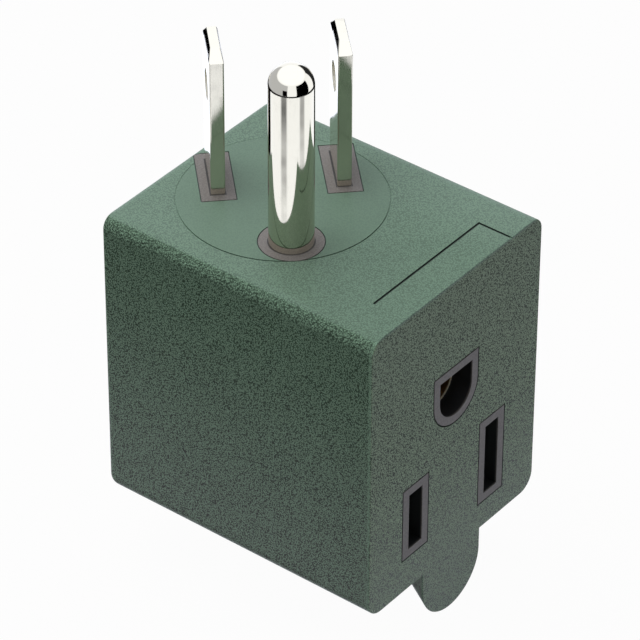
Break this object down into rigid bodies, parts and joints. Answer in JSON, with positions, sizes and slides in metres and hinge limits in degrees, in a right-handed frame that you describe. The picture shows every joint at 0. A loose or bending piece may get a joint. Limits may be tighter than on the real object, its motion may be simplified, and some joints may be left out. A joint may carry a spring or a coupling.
{
  "type": "right angle plug adapter",
  "caption": "Moulded electrical adapter with a turned three-prong grounded plug on top and a matching grounded outlet in its front face, with a finger tab below.",
  "frame": {"origin": "centre of the round field on the plug face", "axes": "+Z along the prongs, out of the plug face; -Y the way the outlet faces; +X to the right of someone who looks at the outlet"},
  "size_m": [0.0276, 0.0342, 0.0624],
  "materials": {
    "green_pvc": "fine moulded grain",
    "core_plastic": "matte",
    "nickel_plate": "polished",
    "spring_brass": "satin"
  },
  "bodies": {
    "root": {"housing": "green_pvc", "plug_core": "core_plastic", "outlet_core": "core_plastic", "outlet_cover": "core_plastic", "line_blade": "nickel_plate", "neutral_blade": "nickel_plate", "ground_pin": "nickel_plate", "line_contact": "spring_brass", "neutral_contact": "spring_brass", "ground_contact": "spring_brass", "line_strap": "spring_brass", "neutral_strap": "spring_brass", "ground_strap": "spring_brass", "contact_rivets": "spring_brass", "tail_rivets": "spring_brass"}
  },
  "joints": []
}
